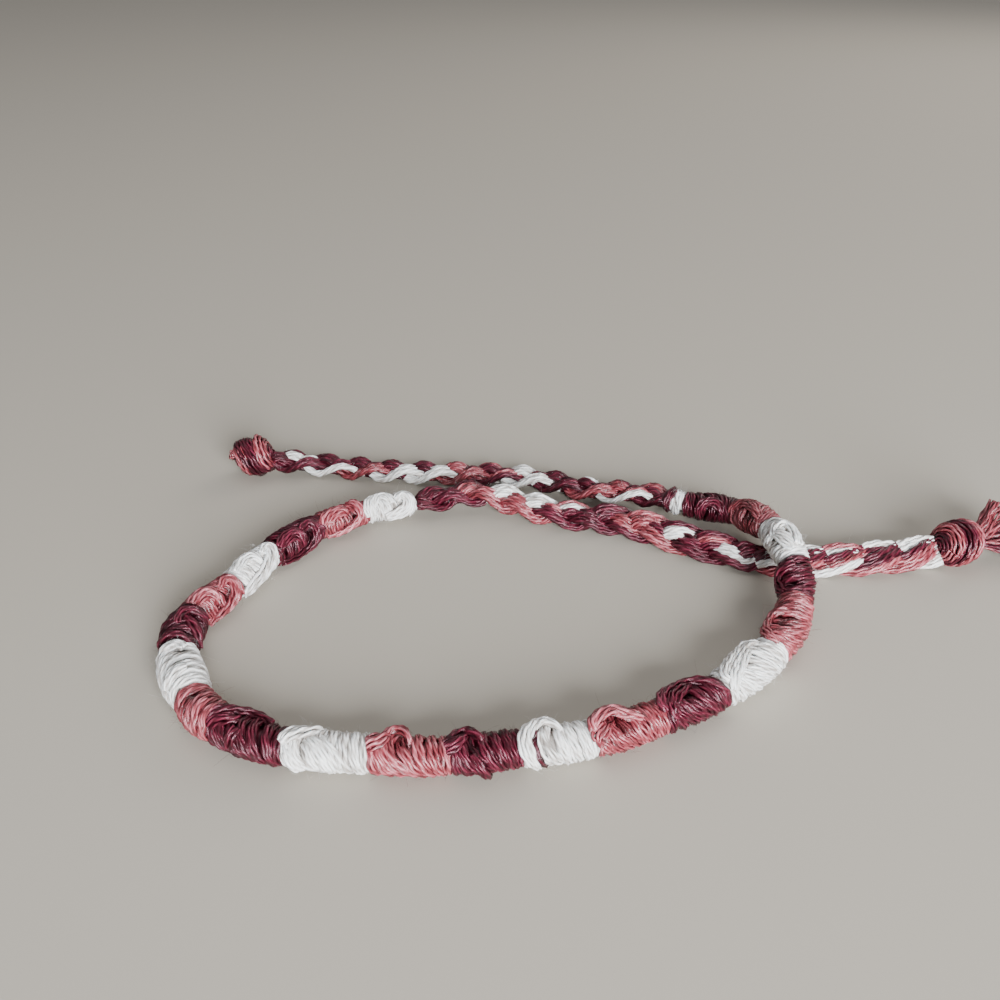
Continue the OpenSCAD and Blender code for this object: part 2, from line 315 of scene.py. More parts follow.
def floss_material(name, deep, body, pale, roughness, gloss, gloss_tint, sheen, glow):
    """Spun cotton. A ply's two yarns run along V + U / turn length: their tops are painted paler
    as a highlight and stand up in the bump, the grooves between them are deeper and painted
    darker as shade, and streaks of fibre follow them. The colour runs from deep to pale by the
    ply's tone with its painted shade, by the yarns and by the streaks."""
    material = bpy.data.materials.new(name)
    material.use_nodes = True
    tree = material.node_tree
    shader = tree.nodes["Principled BSDF"]

    def math(operation, *values):
        return node(tree, "ShaderNodeMath", dict(enumerate(values)), operation=operation).outputs[0]

    tone = node(tree, "ShaderNodeAttribute", attribute_name="tone")
    uv = node(tree, "ShaderNodeUVMap", uv_map="along_and_round")
    axes = node(tree, "ShaderNodeSeparateXYZ", {0: uv.outputs[0]})
    turns = math("MULTIPLY_ADD", axes.outputs[0], 1 / YARN_TURN_L, axes.outputs[1])
    angle = math("MULTIPLY", turns, TURN)
    yarns = math("COSINE", math("MULTIPLY", angle, 2.0))
    length = math("MULTIPLY", axes.outputs[0], STREAK_RATE)
    round_ply = node(tree, "ShaderNodeCombineXYZ", {
        0: length, 1: math("COSINE", angle), 2: math("SINE", angle)})
    streaks = node(tree, "ShaderNodeTexNoise", {
        "Vector": round_ply.outputs[0], "Scale": STREAK_SCALE, "Detail": 4.0, "Roughness": 0.65})
    # Painted highlight on the yarns' tops and painted shade in the grooves between them
    yarn_painted_light_and_shade = math("MULTIPLY_ADD", yarns, YARN_PAINTED_LIGHT_AND_SHADE, SHADE_START)
    shade = math("MULTIPLY_ADD", streaks.outputs[0], STREAK_SHADE, yarn_painted_light_and_shade)
    ramp = node(tree, "ShaderNodeValToRGB", {"Fac": math("ADD", tone.outputs["Fac"], shade)})
    ramp.color_ramp.elements[0].color = (*deep, 1)
    ramp.color_ramp.elements[1].color = (*pale, 1)
    ramp.color_ramp.elements.new(0.5).color = (*body, 1)
    tree.links.new(ramp.outputs[0], shader.inputs["Base Color"])
    streak_relief = math("MULTIPLY", streaks.outputs[0], STREAK_RELIEF)
    relief = math("MULTIPLY_ADD", yarns, YARN_RELIEF, streak_relief)
    bump = node(tree, "ShaderNodeBump", {"Strength": 0.8, "Distance": RELIEF_M, "Height": relief})
    tree.links.new(bump.outputs[0], shader.inputs["Normal"])
    shader.inputs["Roughness"].default_value = roughness
    shader.inputs["Specular IOR Level"].default_value = gloss
    shader.inputs["Specular Tint"].default_value = (*gloss_tint, 1)
    shader.inputs["Sheen Weight"].default_value = sheen
    shader.inputs["Sheen Roughness"].default_value = 0.35
    shader.inputs["Subsurface Weight"].default_value = glow
    shader.inputs["Subsurface Radius"].default_value = (0.5, 0.35, 0.3)
    shader.inputs["Subsurface Scale"].default_value = 0.0006
    return material


def floss_materials():
    """The three colours of floss: soft white cotton, and silkier coral and burgundy."""
    return {
        "white": floss_material(
            "white_floss", deep=(0.35, 0.31, 0.28), body=(0.83, 0.815, 0.79), pale=(0.98, 0.98, 0.98),
            roughness=0.42, gloss=0.8, gloss_tint=(1, 1, 1), sheen=0.05, glow=0.12),
        "coral": floss_material(
            "coral_floss", deep=(0.055, 0.006, 0.008), body=(0.25, 0.038, 0.050), pale=(0.56, 0.18, 0.21),
            roughness=0.27, gloss=0.95, gloss_tint=(1.0, 0.80, 0.82), sheen=0.0, glow=0.03),
        "burgundy": floss_material(
            "burgundy_floss", deep=(0.010, 0.0008, 0.002), body=(0.058, 0.0052, 0.012),
            pale=(0.17, 0.022, 0.045), roughness=0.28, gloss=0.60, gloss_tint=(1.0, 0.60, 0.68),
            sheen=0.0, glow=0.0),
    }


# Threads: how far a ply strays sideways and outwards, how its shade differs from its thread's
# as a whole and along it, and how its thickness does
STRAY_SIDE = 0.045
STRAY_OUT = 0.04
SHADE_LIFT = 0.04
SHADE_PLY = 0.13
SHADE_ALONG = 0.1
THICK_ALONG = 0.07


def thread_plies(path, outward, width, height, phase, ply_r=PLY_R, twist=TWIST_L, plies=PLIES):
    """Paths of a thread's plies: each circles the thread's path at an angle that falls
    steadily with the length travelled, in an ellipse as wide and high as the thread."""
    across, out = square_to(path, outward)
    turn = phase + TURN * np.arange(plies)[:, None] / plies - TURN * travelled(path) / twist
    paths = path + ((width / 2 - ply_r) * np.sin(turn))[..., None] * across \
        + ((height / 2 - ply_r) * np.cos(turn))[..., None] * out
    return paths, np.broadcast_to(out, paths.shape)


def wobble(rng, rows, run, size, wave_l=5.0):
    """Slow random waves along each row: three sines of the length run, each with a wave
    length and a start of its own, over 1.7 to bring their sum to about the size."""
    total = np.zeros((rows, len(run)))
    for _ in range(3):
        waves = run / (wave_l * rng.uniform(0.5, 1.6, (rows, 1)))
        total += np.sin(TURN * (waves + rng.random((rows, 1))))
    return size * total / 1.7


def add_thread(weave, rng, path, outward, slot, tone=0.5, width=THREAD_W, height=THREAD_H, **shape):
    """Adds one thread along a path, each of its plies with its own shade and unevenness."""
    shape.setdefault("phase", rng.random() * TURN)
    paths, out = thread_plies(path, outward, width, height, **shape)
    plies = len(paths)
    run = travelled(path)
    across, _ = square_to(paths, out)
    paths = paths + wobble(rng, plies, run, STRAY_SIDE)[..., None] * across \
        + wobble(rng, plies, run, STRAY_OUT)[..., None] * out
    shade = tone + SHADE_LIFT + rng.normal(0, SHADE_PLY, (plies, 1)) + wobble(rng, plies, run, SHADE_ALONG)
    radius = shape.get("ply_r", PLY_R) * (1 + wobble(rng, plies, run, THICK_ALONG))
    weave.tubes(paths, out, radius, np.clip(shade, 0, 1), slot, start=rng.random((plies, 1)) * TURN)


# The band's sections

# How far on along the band the wraps change colour from where a section starts, by the
# section's number, which counts from 0 in all these tables
LATE_START = {9: 0.7, 10: 0.4, 11: 0.5, 14: -0.8, 15: -0.7, 16: -0.8}
# How far a section's wraps and ribbons stand out more at its middle
SWELL = {2: 0.3, 5: 0.35, 6: 0.45, 7: 0.15, 15: 0.35, 16: 0.35, 18: 0.3, 19: 0.4, 20: 0.3}
UNDERSIDE = RIDGE_H * (1 + RIDGE_LEAN * np.cos(np.radians(90 + BAND[:, 4])))
CENTRES = np.column_stack([
    BAND[:, 0], BAND[:, 1], (WRAP_R + RIDGE_REST * UNDERSIDE) * BAND[:, 2] + BAND[:, 3]])


def section_length(i):
    """Length of section i in a straight line."""
    return np.linalg.norm(CENTRES[i + 1] - CENTRES[i])


def girth(i, u):
    """Share of the full thickness at share u of section i, from its start's to its end's."""
    return BAND[i, 2] + (BAND[i + 1, 2] - BAND[i, 2]) * np.clip(u, 0, 1)


def swell(i, u):
    """How much section i stands out at share u beyond its plain wraps: half a sine wave."""
    return SWELL.get(i, 0.1) * np.sin(np.pi * np.clip(u, 0, 1))


def crest_at(i, angle):
    """Share at which the ridge of section i crests at an angle: a tilted ring."""
    return BAND[i, 5] * (1 - RIDGE_SWING * np.cos(np.radians(angle - BAND[i, 4])))


def mouth_share(i, u, angle):
    """How far the mouth presses in at a share and an angle, from 0 to 1: a bell curve."""
    a = (angle - BAND[i, 4] + 180) % 360 - 180
    return np.exp(-((u - crest_at(i, angle) - MOUTH_IN) / MOUTH_W) ** 2 - (a / MOUTH_HALF) ** 2)


def section_form(i, u, angle, ridge=1.0):
    """Half height of section i at share u and at an angle: plain wraps with tucked ends, a
    ridge shaped like a bell curve round a tilted ring, and a mouth pressed in behind it."""
    inside = np.clip(u, 0, 1)
    crest = crest_at(i, angle)
    spread = np.where(u < crest, RISE_W, FALL_W)
    lean = 1 + RIDGE_LEAN * np.cos(np.radians(angle - BAND[i, 4]))
    high = RIDGE_H * lean * np.exp(-((inside - crest) / spread) ** 2)
    tuck = END_TUCK * (np.exp(-inside / TUCK_W) + np.exp((inside - 1) / TUCK_W))
    form = WRAP_R * (1 - tuck) + ridge * high - MOUTH_D * mouth_share(i, inside, angle)
    return girth(i, u) * form + (1 - ridge) * swell(i, u)


def around(i, u, angle, radius):
    """Place beside section i at share u and an angle, off its middle by the radius, and the
    direction that points out of the band there."""
    centre, way = spline(CENTRES, i + u)
    side, up = across_and_up(unit(way))
    turn = np.radians(angle)
    out = FLATNESS * np.cos(turn)[..., None] * side + np.sin(turn)[..., None] * up
    return centre + radius[..., None] * out, unit(out)


def on_section(i, u, angle, depth, ridge=1.0):
    """The same for a depth below the section's form, with its wraps moved on to where their
    colour starts and ends."""
    start, end = LATE_START.get(i, 0), LATE_START.get(i + 1, 0)
    moved = u + (start * (1 - u) + end * u) / section_length(i)
    return around(i, moved, angle, section_form(i, u, angle, ridge) - depth)


# Wraps: rings of plies a turn, share by which the turns follow the ridge beside them, least
# turns and turns more than the pitch gives, degrees by which their start differs, unevenness
# of their places, how near a section's ends they come, how deep they lie, how far behind the
# crest they rise and how soon, and how much painted shade darkens them in the mouth
WRAP_STEPS = 34
WRAP_SPREAD = 0.7
WRAP_TURNS_MIN = 2.0
WRAP_TURNS_MORE = 0.4
WRAP_START = 20
WRAP_UNEVEN = 0.07
WRAP_END = 0.4 * THREAD_W
WRAP_DEPTHS = (-0.03, 0.09)
WRAP_BEHIND = 0.1
WRAP_RISE = 0.06
MOUTH_PAINTED_SHADE = 0.8


def add_wraps(weave, rng, i):
    """One thread wound round the section from its start to its end: the angle falls
    steadily and the place goes on by one pitch a turn. The turns lean with the ridge beside
    it and straighten towards both ends, where they crowd against the next section. Where no
    ribbon lies on the section they rise in the ridge themselves."""
    length = section_length(i)
    turns = max(WRAP_TURNS_MIN, length / WRAP_PITCH + WRAP_TURNS_MORE)
    wound = np.linspace(0, turns, int(turns * WRAP_STEPS))
    whole_turns = np.arange(int(turns) + 2)
    angle = 180 + rng.uniform(-WRAP_START, WRAP_START) - 360 * wound
    uneven = np.interp(wound, whole_turns, rng.normal(0, WRAP_UNEVEN, len(whole_turns)))
    even = length / 2 + (wound - turns / 2) * WRAP_PITCH
    place = even + uneven - WRAP_LEAN * np.sin(np.radians(angle))
    s = np.clip(place, WRAP_END, length - WRAP_END) / length
    ridge_at = BAND[i, 5]
    beside = np.where(s < ridge_at, s / ridge_at, ((1 - s) / (1 - ridge_at)) ** 1.5)
    u = s + WRAP_SPREAD * (crest_at(i, angle) - ridge_at) * beside
    behind = np.clip((u - crest_at(i, angle) - WRAP_BEHIND) / WRAP_RISE, 0, 1)
    depth = THREAD_H / 2 + np.interp(wound, whole_turns, rng.uniform(*WRAP_DEPTHS, len(whole_turns)))
    path, out = on_section(i, u, angle, depth, ridge=behind * (i not in RIBBONS))
    # Painted shade darkens the wraps in the mouth
    add_thread(weave, rng, path, out, 0, tone=0.5 - MOUTH_PAINTED_SHADE * mouth_share(i, u, angle))


# Loops, fans and lobes laid over a section's wraps, by its number: each is a ribbon of
# plies through rows of share, angle, height above the plain wraps and width
RIBBONS = {
    0: [[(0.38, 115, 0.1, 1.0), (0.24, 98, 0.4, 1.4), (0.12, 125, 0.5, 1.6), (0.18, 160, 0.5, 1.7),
         (0.38, 182, 0.4, 1.7), (0.64, 198, 0.2, 1.3)],
        [(0.50, 130, 0.1, 1.0), (0.55, 98, 0.4, 1.4), (0.70, 76, 0.45, 1.7), (0.90, 104, 0.45, 1.7),
         (1.00, 136, 0.4, 1.7), (1.00, 172, 0.2, 1.4)]],
    1: [[(0.35, 62, 0.1, 0.9), (0.26, 86, 0.45, 1.0), (0.22, 124, 0.5, 1.1), (0.24, 155, 0.45, 1.1),
         (0.36, 180, 0.4, 1.0), (0.55, 200, 0.4, 1.0), (0.74, 212, 0.3, 1.0), (0.94, 220, 0.1, 0.9)],
        [(1.00, 146, 0.1, 1.5), (0.90, 124, 0.35, 1.9), (0.70, 112, 0.4, 1.9), (0.54, 112, 0.3, 1.7),
         (0.44, 128, -0.3, 1.0)]],
    2: [[(0.44, 122, 0.1, 1.0), (0.30, 114, 0.4, 1.2), (0.22, 132, 0.5, 1.4), (0.24, 160, 0.5, 1.4),
         (0.33, 190, 0.45, 1.4), (0.46, 210, 0.35, 1.4), (0.66, 218, 0.35, 1.4), (0.90, 222, 0.2, 1.2)],
        [(0.92, 134, 0.1, 1.4), (0.74, 120, 0.35, 1.8), (0.58, 122, 0.4, 1.8), (0.53, 146, 0.3, 1.5),
         (0.51, 190, -0.3, 1.0)]],
    3: [[(0.26, 110, 0.1, 0.9), (0.10, 104, 0.4, 1.4), (0.11, 128, 0.45, 1.7), (0.28, 158, 0.4, 1.9),
         (0.54, 177, 0.4, 2.0), (0.80, 186, 0.35, 2.0), (1.00, 204, 0.2, 1.6)],
        [(0.92, 90, 0.1, 1.4), (0.64, 80, 0.35, 1.9), (0.45, 90, 0.4, 1.8), (0.42, 116, 0.2, 1.2),
         (0.44, 150, -0.4, 0.7)]],
    4: [[(0.36, 110, 0.1, 0.8), (0.22, 102, 0.4, 1.0), (0.13, 112, 0.5, 1.1), (0.16, 139, 0.5, 1.2),
         (0.26, 166, 0.5, 1.4), (0.42, 188, 0.45, 1.4), (0.65, 200, 0.4, 1.2), (0.92, 215, 0.25, 1.0)],
        [(0.99, 93, 0.1, 1.6), (0.78, 94, 0.35, 2.0), (0.61, 103, 0.4, 2.0), (0.55, 125, 0.2, 1.4),
         (0.54, 160, -0.4, 0.8)]],
    5: [[(0.60, 86, 0.1, 1.0), (0.42, 88, 0.4, 1.1), (0.28, 101, 0.5, 1.1), (0.23, 125, 0.5, 1.1),
         (0.20, 158, 0.35, 1.1)],
        [(0.40, 103, 0.0, 1.0), (0.58, 131, 0.35, 1.3), (0.74, 155, 0.35, 1.4), (0.84, 190, 0.2, 1.1)],
        [(0.89, 24, 0.1, 0.8), (0.90, 61, 0.35, 0.9), (0.90, 87, 0.4, 0.9), (0.96, 111, 0.35, 0.8),
         (1.04, 131, 0.1, 0.7)]],
    6: [[(0.13, 41, 0.1, 0.9), (0.14, 67, 0.35, 1.1), (0.14, 92, 0.35, 1.1), (0.24, 110, 0.2, 0.9)],
        [(0.78, 22, 0.1, 1.0), (0.72, 56, 0.35, 1.4), (0.68, 80, 0.4, 1.4), (0.68, 98, 0.2, 1.0)]],
    7: [[(1.00, -17, 0.1, 0.9), (1.00, 25, 0.3, 0.9), (0.96, 48, 0.4, 0.9), (0.93, 71, 0.4, 0.9),
         (0.96, 90, 0.4, 0.8), (0.96, 120, 0.2, 0.8)],
        [(0.80, -13, 0.1, 0.9), (0.82, 26, 0.3, 0.9), (0.76, 52, 0.35, 0.9), (0.71, 75, 0.35, 0.9),
         (0.70, 98, 0.2, 0.8)]],
    8: [[(-0.02, 58, 0.1, 0.8), (0.03, 78, 0.4, 0.9), (0.15, 97, 0.45, 0.9), (0.32, 117, 0.5, 0.9),
         (0.46, 132, 0.5, 0.9), (0.67, 134, 0.4, 0.8), (0.82, 128, 0.1, 0.6)],
        [(0.03, 41, 0.1, 1.5), (0.14, 65, 0.3, 1.6), (0.30, 79, 0.35, 1.4), (0.37, 92, 0.1, 1.1),
         (0.37, 116, -0.5, 0.7)],
        [(0.40, -14, -0.1, 1.0), (0.43, 11, 0.15, 1.1), (0.46, 41, 0.3, 1.2), (0.48, 65, 0.0, 1.0)]],
    9: [[(0.06, 60, 0.05, 0.9), (0.12, 81, 0.3, 1.4), (0.22, 94, 0.45, 1.6), (0.34, 106, 0.4, 1.5),
         (0.45, 122, 0.2, 1.0), (0.54, 130, -0.4, 0.7)],
        [(0.12, 46, -0.2, 0.9), (0.17, 26, 0.2, 1.3), (0.22, 3, 0.3, 1.5), (0.28, -36, 0.1, 1.3)],
        [(0.36, 90, -0.2, 1.9), (0.45, 64, 0.25, 2.5), (0.53, 37, 0.4, 2.9), (0.60, 8, 0.35, 2.8),
         (0.63, -30, 0.0, 2.2)]],
    10: [[(0.02, 76, 0.1, 1.9), (0.12, 83, 0.35, 1.9), (0.20, 94, 0.35, 1.6), (0.26, 112, 0.0, 1.0),
          (0.30, 124, -0.6, 0.7)],
         [(0.21, 112, 0.1, 0.7), (0.27, 126, 0.5, 0.8), (0.37, 130, 0.7, 0.8), (0.46, 122, 0.6, 0.8),
          (0.53, 101, 0.3, 0.6), (0.56, 88, -0.3, 0.4)]],
    11: [[(0.04, 98, 0.1, 0.7), (0.14, 120, 0.4, 0.8), (0.28, 126, 0.5, 0.9), (0.39, 108, 0.4, 0.8),
          (0.47, 92, 0.1, 0.6), (0.51, 83, -0.4, 0.4)],
         [(0.00, 70, 0.1, 1.6), (0.09, 76, 0.35, 1.8), (0.18, 86, 0.35, 1.4), (0.26, 108, 0.0, 0.9),
          (0.30, 120, -0.6, 0.6)],
         [(0.33, 44, -0.1, 0.8), (0.41, 17, 0.4, 0.9), (0.47, -5, 0.5, 0.9), (0.51, -36, 0.4, 0.8),
          (0.54, -62, -0.1, 0.6)]],
    12: [[(0.56, 84, -0.4, 0.5), (0.48, 104, 0.3, 0.7), (0.38, 115, 0.6, 0.9), (0.24, 114, 0.75, 1.3),
          (0.11, 95, 0.7, 1.5), (0.03, 67, 0.6, 1.5), (0.03, 35, 0.55, 1.4), (0.10, 5, 0.45, 1.2),
          (0.19, -30, 0.2, 0.9)]],
    13: [[(-0.05, 66, 0.1, 0.8), (-0.03, 88, 0.7, 1.3), (0.14, 105, 1.0, 1.7), (0.30, 106, 0.9, 1.8),
          (0.41, 92, 0.4, 1.6), (0.51, 77, 0.2, 1.1), (0.62, 63, -0.4, 0.7)],
         [(-0.04, 36, 0.1, 1.0), (-0.02, 50, 0.3, 1.6), (0.06, 63, 0.3, 1.4), (0.18, 80, -0.1, 0.9),
          (0.26, 96, -0.6, 0.6)],
         [(-0.04, 38, 0.0, 0.7), (0.00, 27, 0.45, 0.9), (0.05, 13, 0.45, 0.9), (0.12, -14, -0.1, 0.6)]],
    14: [[(-0.12, 60, 0.0, 0.7), (-0.13, 88, 0.45, 0.9), (0.02, 116, 0.7, 1.0), (0.30, 130, 0.65, 0.95),
          (0.50, 126, 0.55, 0.9), (0.65, 100, 0.35, 0.8), (0.76, 66, 0.15, 0.7), (0.87, 34, -0.2, 0.5)],
         [(-0.03, 56, 0.0, 1.0), (0.02, 84, 0.4, 1.7), (0.14, 102, 0.5, 1.9), (0.31, 112, 0.4, 1.5),
          (0.43, 124, 0.0, 0.9), (0.50, 130, -0.6, 0.5)],
         [(0.08, 82, -0.1, 0.9), (0.00, 70, 0.3, 1.1), (-0.02, 54, 0.3, 1.1), (0.02, 34, 0.0, 1.0)]],
    15: [[(-0.03, 64, 0.0, 0.8), (-0.02, 90, 0.3, 1.3), (0.18, 112, 0.5, 1.7), (0.40, 126, 0.5, 1.8),
          (0.58, 130, 0.4, 1.4), (0.67, 120, 0.1, 0.8), (0.72, 110, -0.4, 0.5)],
         [(-0.04, 32, 0.1, 1.2), (0.03, 60, 0.3, 1.4), (0.20, 86, 0.3, 1.4), (0.42, 106, 0.1, 1.1),
          (0.55, 120, -0.5, 0.7)]],
    16: [[(-0.12, 70, 0.0, 0.8), (-0.12, 104, 0.45, 1.1), (0.04, 134, 0.6, 1.2), (0.32, 138, 0.5, 1.1),
          (0.42, 116, 0.3, 0.9), (0.48, 93, -0.2, 0.7)]],
    17: [[(0.00, 150, 0.1, 1.3), (0.16, 170, 0.4, 1.6), (0.40, 184, 0.5, 1.6), (0.64, 174, 0.5, 1.5),
          (0.70, 138, 0.4, 1.4), (0.73, 105, 0.1, 1.0)]],
    18: [[(0.08, 92, 0.05, 1.2), (0.24, 106, 0.35, 1.8), (0.40, 116, 0.4, 1.8), (0.56, 130, 0.1, 1.2)],
         [(0.48, 136, 0.1, 1.1), (0.61, 117, 0.35, 1.3), (0.66, 95, 0.5, 1.4), (0.62, 76, 0.5, 1.4),
          (0.43, 72, 0.4, 1.5), (0.17, 78, 0.3, 1.5)]],
    19: [[(1.02, 155, 0.1, 1.5), (0.84, 125, 0.35, 1.8), (0.62, 106, 0.4, 1.8), (0.30, 117, 0.35, 1.6),
          (0.10, 128, 0.0, 1.1)]],
    20: [[(0.66, 210, 0.0, 1.1), (0.66, 162, 0.35, 1.3), (0.56, 136, 0.45, 1.4), (0.40, 128, 0.45, 1.4),
          (0.27, 143, 0.3, 1.3), (0.20, 174, 0.0, 1.0)]],
}
# Burgundy floss that shows between or over the wraps of a section, by its number: its tone
# and one ribbon's rows as above. It is a slit in the first, a thin burgundy thread painted at
# its deepest tone as the slit's shade, and the next loop's end in the last.
BURGUNDY_IN = {
    12: (0.0, [
        (0.20, 98, 0.1, 0.4), (0.15, 67, 0.25, 0.4), (0.17, 34, 0.24, 0.4), (0.23, 0, 0.18, 0.4),
        (0.31, -35, -0.15, 0.4)]),
    21: (0.45, [
        (0.70, 20, -0.1, 0.8), (0.72, 60, 0.2, 1.1), (0.78, 100, 0.32, 1.4), (0.88, 140, 0.32, 1.4),
        (0.86, 180, 0.25, 1.2), (0.70, 215, -0.1, 0.8)]),
}
# Ribbons: rings of plies between two rows, how far apart the plies lie, and their tone
RIBBON_STEPS = 9
RIBBON_PITCH = 0.37
RIBBON_TONE = 0.62
# How steeply a ribbon's edges drop, how much deeper its lower layer lies, how much darker it is
# painted as shade under the upper one, and how far crowded plies rise and fall by turns
RIBBON_EDGE = 0.45
RIBBON_LAYER = 0.28
LAYER_PAINTED_SHADE = 0.25
RIBBON_CROWD = 0.14
# How far its plies stray sideways and outwards, and how their shade and thickness differ
# along them
RIBBON_STRAY_SIDE = 0.05
RIBBON_STRAY_OUT = 0.035
RIBBON_SHADE_ALONG = 0.09
RIBBON_THICK_ALONG = 0.06


def add_ribbon(weave, rng, i, rows, slot=0, tone=RIBBON_TONE):
    """Plies side by side on a smooth curve through the rows, in two layers: their spread
    follows the ribbon's width, its edges curve down as the square of the way to them, and
    where it narrows they crowd over one another."""
    rows = np.array(rows, float)
    t = np.linspace(0, len(rows) - 1, RIBBON_STEPS * (len(rows) - 1))
    u, angle, height, width = spline(rows, t)[0].T
    path, out = around(i, u, angle, WRAP_R * girth(i, u) + swell(i, u) + height - PLY_R)
    across, _ = square_to(path, out)
    run = travelled(path)
    count = max(3, int(round(width.max() / RIBBON_PITCH)))
    half = np.maximum(width / 2 - PLY_R, 0.05)
    crowded = np.clip(1 - 2 * half / (RIBBON_PITCH * count), 0, 1)
    for layer in range(2):
        n = count - layer
        place = np.linspace(-1, 1, n)[:, None] * n / count
        by_turns = (-1.0) ** np.arange(n)[:, None]
        rise = RIBBON_CROWD * crowded * by_turns - RIBBON_EDGE * place ** 2 * half - RIBBON_LAYER * layer
        paths = path + (place * half + wobble(rng, n, run, RIBBON_STRAY_SIDE))[..., None] * across \
            + (rise + wobble(rng, n, run, RIBBON_STRAY_OUT))[..., None] * out
        # The lower layer is painted darker, as shade under the upper one
        shade = tone - LAYER_PAINTED_SHADE * layer + rng.normal(0, SHADE_PLY, (n, 1)) \
            + wobble(rng, n, run, RIBBON_SHADE_ALONG)
        radius = PLY_R * (1 + wobble(rng, n, run, RIBBON_THICK_ALONG))
        weave.tubes(paths, np.broadcast_to(out, paths.shape), radius, np.clip(shade, 0, 1), slot,
                    start=rng.random((n, 1)) * TURN)


# Cores: how dark they are painted, as painted shade where they lie sunk below the wraps, how
# deep below a section's form, rings along it and degrees between the points of a ring
CORE_PAINTED_SHADE = 0.1
CORE_SINK = 0.75
CORE_RINGS = 16
CORE_STEP = 24


def add_core(weave, i):
    """The bundle that the wraps are tied round: a plain skin sunk below them, painted dark as shade."""
    u = np.linspace(0.02, 0.98, CORE_RINGS)[:, None]
    angle = np.arange(0, 360, CORE_STEP)[None, :]
    u, angle = np.broadcast_arrays(u, angle)
    points, _ = on_section(i, u, -angle, CORE_SINK, ridge=0.0)
    weave.grid(points[None], CORE_PAINTED_SHADE, 0)


# Loose fibres: sides, radius, rings, tone, how far they lean outwards and bend, the shortest
# and longest as shares of the usual length, and how many lengths off the floor is near it
HAIR_SIDES = 3
HAIR_R = 0.010
HAIR_STEPS = 5
HAIR_TONE = 0.7
HAIR_LEAN = 0.5
HAIR_BEND = 0.7
HAIR_RANGE = (0.2, 2.2)
HAIR_NEAR_FLOOR = 2.5


def add_hairs(weave, rng, place, out, slot, length):
    """Loose fibres: each leaves its place at a low angle and bends as the square of the way
    along it. Near the floor they turn upwards."""
    n = len(place)
    lean = unit(HAIR_LEAN * out * rng.uniform(0.4, 1.6, (n, 1)) + unit(rng.normal(0, 1, (n, 3))))
    lean = np.where(np.sum(lean * out, 1, keepdims=True) < 0.1, unit(lean + out), lean)
    bend = rng.normal(0, HAIR_BEND, (n, 3))
    low = place[:, 2] < HAIR_NEAR_FLOOR * length
    lean[low, 2], bend[low, 2] = np.abs(lean[low, 2]), np.abs(bend[low, 2])
    reach = length * np.clip(rng.gamma(2.0, 0.5, n), *HAIR_RANGE)
    s = np.linspace(0, 1, HAIR_STEPS)[None, :, None] * reach[:, None, None]
    paths = place[:, None] + lean[:, None] * s + bend[:, None] * s ** 2
    taper = HAIR_R * np.linspace(1, 0.5, HAIR_STEPS)
    hint = np.broadcast_to(unit(np.cross(lean, bend))[:, None], paths.shape)
    weave.tubes(paths, hint, taper, HAIR_TONE, slot, sides=HAIR_SIDES)


# How many there are on a section by its colour and on a tie, how long, on a tie as a share of
# its width, and how deep in a section or how far from a tie's middle, as shares of its width
# and thickness, they start
HAIRS = {"white": 260, "coral": 150, "burgundy": 150}
TIE_HAIRS = 260
HAIR_L = 0.45
TIE_HAIR_SHARE = 0.1
HAIR_DEPTH = 0.12
TIE_HAIR_ASIDE = 0.42
TIE_HAIR_ABOVE = 0.4
# Seed of the first section's random draws, with one more for each section after it
FIRST_SEED = 100


def add_section_hairs(weave, rng, i, colour):
    """Loose fibres on a section's upper side and flanks."""
    n = HAIRS[colour]
    u = rng.uniform(0.03, 0.97, n)
    angle = rng.uniform(-70, 250, n)
    place, out = on_section(i, u, angle, HAIR_DEPTH)
    add_hairs(weave, rng, place, out, 0, HAIR_L)


def make_section(i, floss):
    """Section i: its core, wraps, ribbons and loose fibres, in place of the plain solid."""
    colour = FLOSS[i % 3]
    name = "section_%02d_%s" % (i + 1, colour)
    rng = np.random.default_rng(FIRST_SEED + i)
    materials = [floss[colour]]
    weave = Weave()
    add_core(weave, i)
    add_wraps(weave, rng, i)
    for rows in RIBBONS.get(i, []):
        add_ribbon(weave, rng, i, rows)
    if i in BURGUNDY_IN:
        tone, rows = BURGUNDY_IN[i]
        materials.append(floss["burgundy"])
        add_ribbon(weave, rng, i, rows, 1, tone)
    add_section_hairs(weave, rng, i, colour)
    piece = weave.piece(name + "_hitches", materials, colour + "_floss")
    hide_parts(name)


# The ties

# Braids: how far apart the places along them are, and their threads' plies
BRAID_STEP = 0.4
BRAID_PLIES = 5
BRAID_PLY_R = 1.1 * PLY_R
BRAID_TWIST_L = 14.0
# Shares of the braid's width: a thread's width and height, the swing of a strand, and how far
# the outer threads of a strand lie from its middle one, aside and below
THREAD_W_SHARE = 0.26
THREAD_H_SHARE = 0.24
SWING_SHARE = 0.225
APART_SHARE = 0.175
BELOW_SHARE = 0.03
# Turns of each braid: length of one, start phase, and how far along the tie the braiding
# turns over, which is past the left tie's end
RIGHT_BRAID = [14.2, 0.9, 45.5]
LEFT_BRAID = [14.0, 0.05, 99.0]
# In what length it turns over, and by what share a strand then stays longer on top on its way
# to the left
TURN_OVER_L = 0.8
TURNED_LAY = 0.55
# Strokes a turn of the braid, and shares of a turn: where a strand is on top before and after
# the braiding turns over, and how far from its lowest place its colour changes
STROKES = 6
ON_TOP = 0.125
ON_TOP_TURNED = 0.375
COLOUR_LATE = 0.0625
# Places a row at which a tie's length is measured
TIE_FINE = 60
